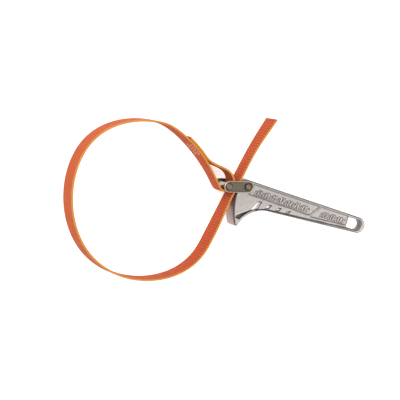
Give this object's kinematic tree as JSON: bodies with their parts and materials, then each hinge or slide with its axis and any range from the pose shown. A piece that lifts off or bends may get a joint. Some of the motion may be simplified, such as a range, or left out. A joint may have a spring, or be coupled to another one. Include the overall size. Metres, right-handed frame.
{
  "type": "strap wrench",
  "caption": "Oil filter wrench with a woven strap loop sewn to a two-plate link, and a cast lever handle whose head grips the threaded free end.",
  "frame": {"origin": "on the pivot pin's axis, at the plane through the pins' rear ends, on which the tool lies", "axes": "+Z along both pins and the loop's axis, +X from the strap pin to the pivot pin and towards the handle, +Y towards the strap's tail"},
  "size_m": [0.3305, 0.1637, 0.026],
  "materials": {
    "cast_aluminium": "satin as-cast and lightly tumbled",
    "link_steel": "dull stamped steel",
    "pin_steel": "turned and peened",
    "webbing": "ribbed woven webbing, orange faces with amber edges"
  },
  "bodies": {
    "strap": {"strap_eye": "webbing", "strap_loop": "webbing"},
    "links": {"front_link_plate": "link_steel", "rear_link_plate": "link_steel", "strap_pin": "pin_steel", "pivot_pin": "pin_steel"},
    "handle": {"handle": "cast_aluminium"},
    "free_end": {"strap_free_end": "webbing"}
  },
  "joints": [
    {"name": "link_swing", "type": "hinge", "parent": "strap", "child": "links", "pos_m": [-0.021, 0, 0.013], "axis": [0, 0, 1], "range_deg": [-10, 5]},
    {"name": "handle_swing", "type": "hinge", "parent": "links", "child": "handle", "pos_m": [0, 0, 0.013], "axis": [0, 0, 1], "range_deg": [-5, 50]},
    {"name": "strap_feed", "type": "slide", "parent": "strap", "child": "free_end", "axis": [0.4384, 0.8988, 0], "range_m": [-0.04, 0.03], "deforming": ["strap_loop"]}
  ]
}
